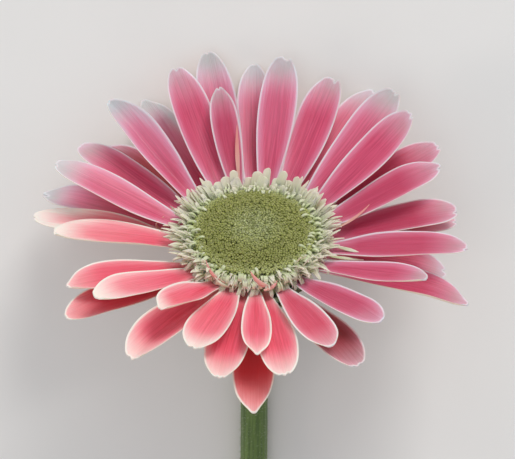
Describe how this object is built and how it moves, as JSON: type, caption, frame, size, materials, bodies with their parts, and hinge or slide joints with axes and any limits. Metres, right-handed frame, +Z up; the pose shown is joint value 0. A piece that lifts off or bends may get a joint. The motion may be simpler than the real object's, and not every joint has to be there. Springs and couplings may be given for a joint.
{
  "type": "cut gerbera flower",
  "caption": "Cut daisy-like flower lying down: rings of pink ray florets round a green button of disc florets, on a leafless stem with a bent neck.",
  "frame": {"origin": "under the middle of the flower's bounding box, on the surface that it lies on", "axes": "+Z up from the surface; +Y along the stem, away from the head; the face looks towards -Y and up"},
  "size_m": [0.113, 0.217, 0.0739],
  "materials": {
    "ray_florets": "satin pink petal, paler at the margins and tip",
    "cream_florets": "matte cream",
    "disc_florets": "matte olive green, finely bristled",
    "bracts": "matte hairy green",
    "stem": "satin green with fine hairs"
  },
  "bodies": {
    "root": {"disc_florets": "disc_florets", "involucre_inner": "bracts", "involucre_outer": "bracts", "ray_inner_01": "ray_florets", "ray_inner_02": "ray_florets", "ray_inner_03": "ray_florets", "ray_inner_04": "ray_florets", "ray_inner_05": "ray_florets", "ray_inner_06": "ray_florets", "ray_inner_07": "ray_florets", "ray_inner_08": "ray_florets", "ray_inner_09": "ray_florets", "ray_inner_10": "ray_florets", "ray_inner_11": "ray_florets", "ray_inner_12": "ray_florets", "ray_inner_13": "ray_florets", "ray_inner_14": "ray_florets", "ray_middle_01": "ray_florets", "ray_middle_02": "ray_florets", "ray_middle_03": "ray_florets", "ray_middle_04": "ray_florets", "ray_middle_05": "ray_florets", "ray_middle_06": "ray_florets", "ray_middle_07": "ray_florets", "ray_middle_08": "ray_florets", "ray_middle_09": "ray_florets", "ray_outer_01": "ray_florets", "ray_outer_02": "ray_florets", "ray_outer_03": "ray_florets", "ray_outer_04": "ray_florets", "ray_outer_05": "ray_florets", "ray_outer_06": "ray_florets", "ray_outer_07": "ray_florets", "ray_outer_08": "ray_florets", "ray_outer_09": "ray_florets", "ray_outer_10": "ray_florets", "ray_outer_11": "ray_florets", "ray_outer_12": "ray_florets", "ray_outer_13": "ray_florets", "ray_outer_14": "ray_florets", "ray_outer_15": "ray_florets", "receptacle": "bracts", "stem": "stem", "trans_florets_inner": "cream_florets", "trans_florets_outer": "cream_florets"}
  },
  "joints": []
}
